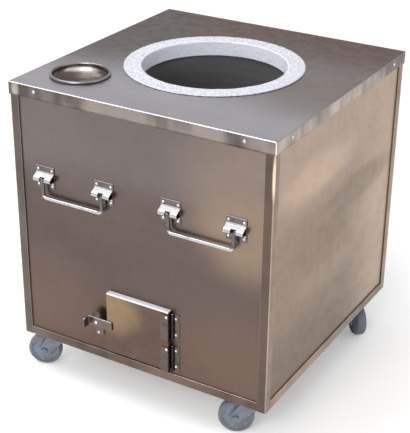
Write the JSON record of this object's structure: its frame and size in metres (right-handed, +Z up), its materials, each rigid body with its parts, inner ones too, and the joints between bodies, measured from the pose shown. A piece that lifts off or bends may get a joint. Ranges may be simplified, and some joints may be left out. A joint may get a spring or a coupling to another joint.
{
  "type": "clay tandoor oven",
  "caption": "Clay pot oven in a square steel cabinet on swivel castors, with a round top mouth, a latched ash door, drop handles and a drop-in oil bowl.",
  "frame": {"origin": "on the floor, under the middle of the cabinet", "axes": "+X to the right seen from the door side, +Y to the back, +Z up"},
  "size_m": [0.6262, 0.6498, 0.6913],
  "materials": {
    "frame_steel": "brushed, uncoated",
    "panel_steel": "satin, warm reflections",
    "top_steel": "satin",
    "ring_ceramic": "matte, fine grained",
    "fired_clay": "matte, sooted",
    "firebrick": "matte",
    "mineral_wool": "loose fill",
    "grate_iron": "rough",
    "duct_steel": "heat-stained",
    "bracket_steel": "bright",
    "rod_steel": "polished",
    "fastener_steel": "bright",
    "door_steel": "satin",
    "bowl_steel": "spun",
    "castor_zinc": "zinc plated",
    "tyre_rubber": "matte grey",
    "hub_plastic": "matte grey"
  },
  "bodies": {
    "cabinet": {"corner_posts": "frame_steel", "base_rails": "frame_steel", "top_rails": "frame_steel", "castor_pads": "frame_steel", "base_plate": "frame_steel", "front_panel": "panel_steel", "rear_panel": "panel_steel", "left_panel": "panel_steel", "right_panel": "panel_steel", "top_sheet": "top_steel", "mouth_ring": "ring_ceramic", "clay_pot": "fired_clay", "insulation_fill": "mineral_wool", "hearth_slab": "firebrick", "draught_duct": "duct_steel", "fire_grate": "grate_iron", "skirt_screws": "fastener_steel", "handle_brackets": "bracket_steel", "handle_rivets": "fastener_steel", "hinge_fixed_leaves": "bracket_steel", "hinge_pins": "fastener_steel", "hinge_rivets": "fastener_steel", "latch_bracket": "bracket_steel", "latch_rivets": "fastener_steel", "latch_pivot": "fastener_steel", "castor_plates": "castor_zinc", "castor_bolts": "castor_zinc", "castor_kingpins": "castor_zinc"},
    "door": {"door_tray": "door_steel", "door_liner": "duct_steel", "door_insulation": "mineral_wool", "hinge_door_leaves": "bracket_steel", "door_rivets": "fastener_steel"},
    "latch": {"latch_bar": "bracket_steel"},
    "bowl": {"drop_in_bowl": "bowl_steel"},
    "front_left_handle": {"front_left_bail": "rod_steel"},
    "front_right_handle": {"front_right_bail": "rod_steel"},
    "rear_left_handle": {"rear_left_bail": "rod_steel"},
    "rear_right_handle": {"rear_right_bail": "rod_steel"},
    "front_left_castor": {"front_left_fork": "castor_zinc", "front_left_axle": "fastener_steel"},
    "front_left_wheel": {"front_left_tyre": "tyre_rubber", "front_left_hub": "hub_plastic"},
    "front_right_castor": {"front_right_fork": "castor_zinc", "front_right_axle": "fastener_steel"},
    "front_right_wheel": {"front_right_tyre": "tyre_rubber", "front_right_hub": "hub_plastic"},
    "rear_left_castor": {"rear_left_fork": "castor_zinc", "rear_left_axle": "fastener_steel"},
    "rear_left_wheel": {"rear_left_tyre": "tyre_rubber", "rear_left_hub": "hub_plastic"},
    "rear_right_castor": {"rear_right_fork": "castor_zinc", "rear_right_axle": "fastener_steel"},
    "rear_right_wheel": {"rear_right_tyre": "tyre_rubber", "rear_right_hub": "hub_plastic"}
  },
  "joints": [
    {"name": "door_hinge", "type": "hinge", "parent": "cabinet", "child": "door", "pos_m": [0.0835, -0.303, 0.1914], "axis": [0, 0, 1], "range_deg": [0, 110]},
    {"name": "latch_turn", "type": "hinge", "parent": "cabinet", "child": "latch", "pos_m": [-0.0975, -0.3153, 0.19], "axis": [0, -1, 0], "range_deg": [0, 90]},
    {"name": "bowl_lift", "type": "slide", "parent": "cabinet", "child": "bowl", "axis": [0, 0, 1], "range_m": [0, 0.06]},
    {"name": "front_left_handle_swing", "type": "hinge", "parent": "cabinet", "child": "front_left_handle", "pos_m": [-0.152, -0.3097, 0.487], "axis": [-1, 0, 0], "range_deg": [0, 90]},
    {"name": "front_right_handle_swing", "type": "hinge", "parent": "cabinet", "child": "front_right_handle", "pos_m": [0.152, -0.3097, 0.487], "axis": [-1, 0, 0], "range_deg": [0, 90]},
    {"name": "rear_left_handle_swing", "type": "hinge", "parent": "cabinet", "child": "rear_left_handle", "pos_m": [-0.152, 0.3097, 0.487], "axis": [1, 0, 0], "range_deg": [0, 90]},
    {"name": "rear_right_handle_swing", "type": "hinge", "parent": "cabinet", "child": "rear_right_handle", "pos_m": [0.152, 0.3097, 0.487], "axis": [1, 0, 0], "range_deg": [0, 90]},
    {"name": "front_left_swivel", "type": "hinge", "parent": "cabinet", "child": "front_left_castor", "pos_m": [-0.248, -0.248, 0.087], "axis": [0, 0, 1], "continuous": true},
    {"name": "front_left_roll", "type": "hinge", "parent": "front_left_castor", "child": "front_left_wheel", "pos_m": [-0.28089, -0.26264, 0.038], "axis": [0.4067, -0.9135, 0], "continuous": true},
    {"name": "front_right_swivel", "type": "hinge", "parent": "cabinet", "child": "front_right_castor", "pos_m": [0.248, -0.248, 0.087], "axis": [0, 0, 1], "continuous": true},
    {"name": "front_right_roll", "type": "hinge", "parent": "front_right_castor", "child": "front_right_wheel", "pos_m": [0.21486, -0.26207, 0.038], "axis": [0.3907, -0.9205, 0], "continuous": true},
    {"name": "rear_left_swivel", "type": "hinge", "parent": "cabinet", "child": "rear_left_castor", "pos_m": [-0.248, 0.248, 0.087], "axis": [0, 0, 1], "continuous": true},
    {"name": "rear_left_roll", "type": "hinge", "parent": "rear_left_castor", "child": "rear_left_wheel", "pos_m": [-0.27114, 0.27558, 0.038], "axis": [-0.766, -0.6428, 0], "continuous": true},
    {"name": "rear_right_swivel", "type": "hinge", "parent": "cabinet", "child": "rear_right_castor", "pos_m": [0.248, 0.248, 0.087], "axis": [0, 0, 1], "continuous": true},
    {"name": "rear_right_roll", "type": "hinge", "parent": "rear_right_castor", "child": "rear_right_wheel", "pos_m": [0.27301, 0.2221, 0.038], "axis": [0.7193, 0.6947, 0], "continuous": true}
  ]
}
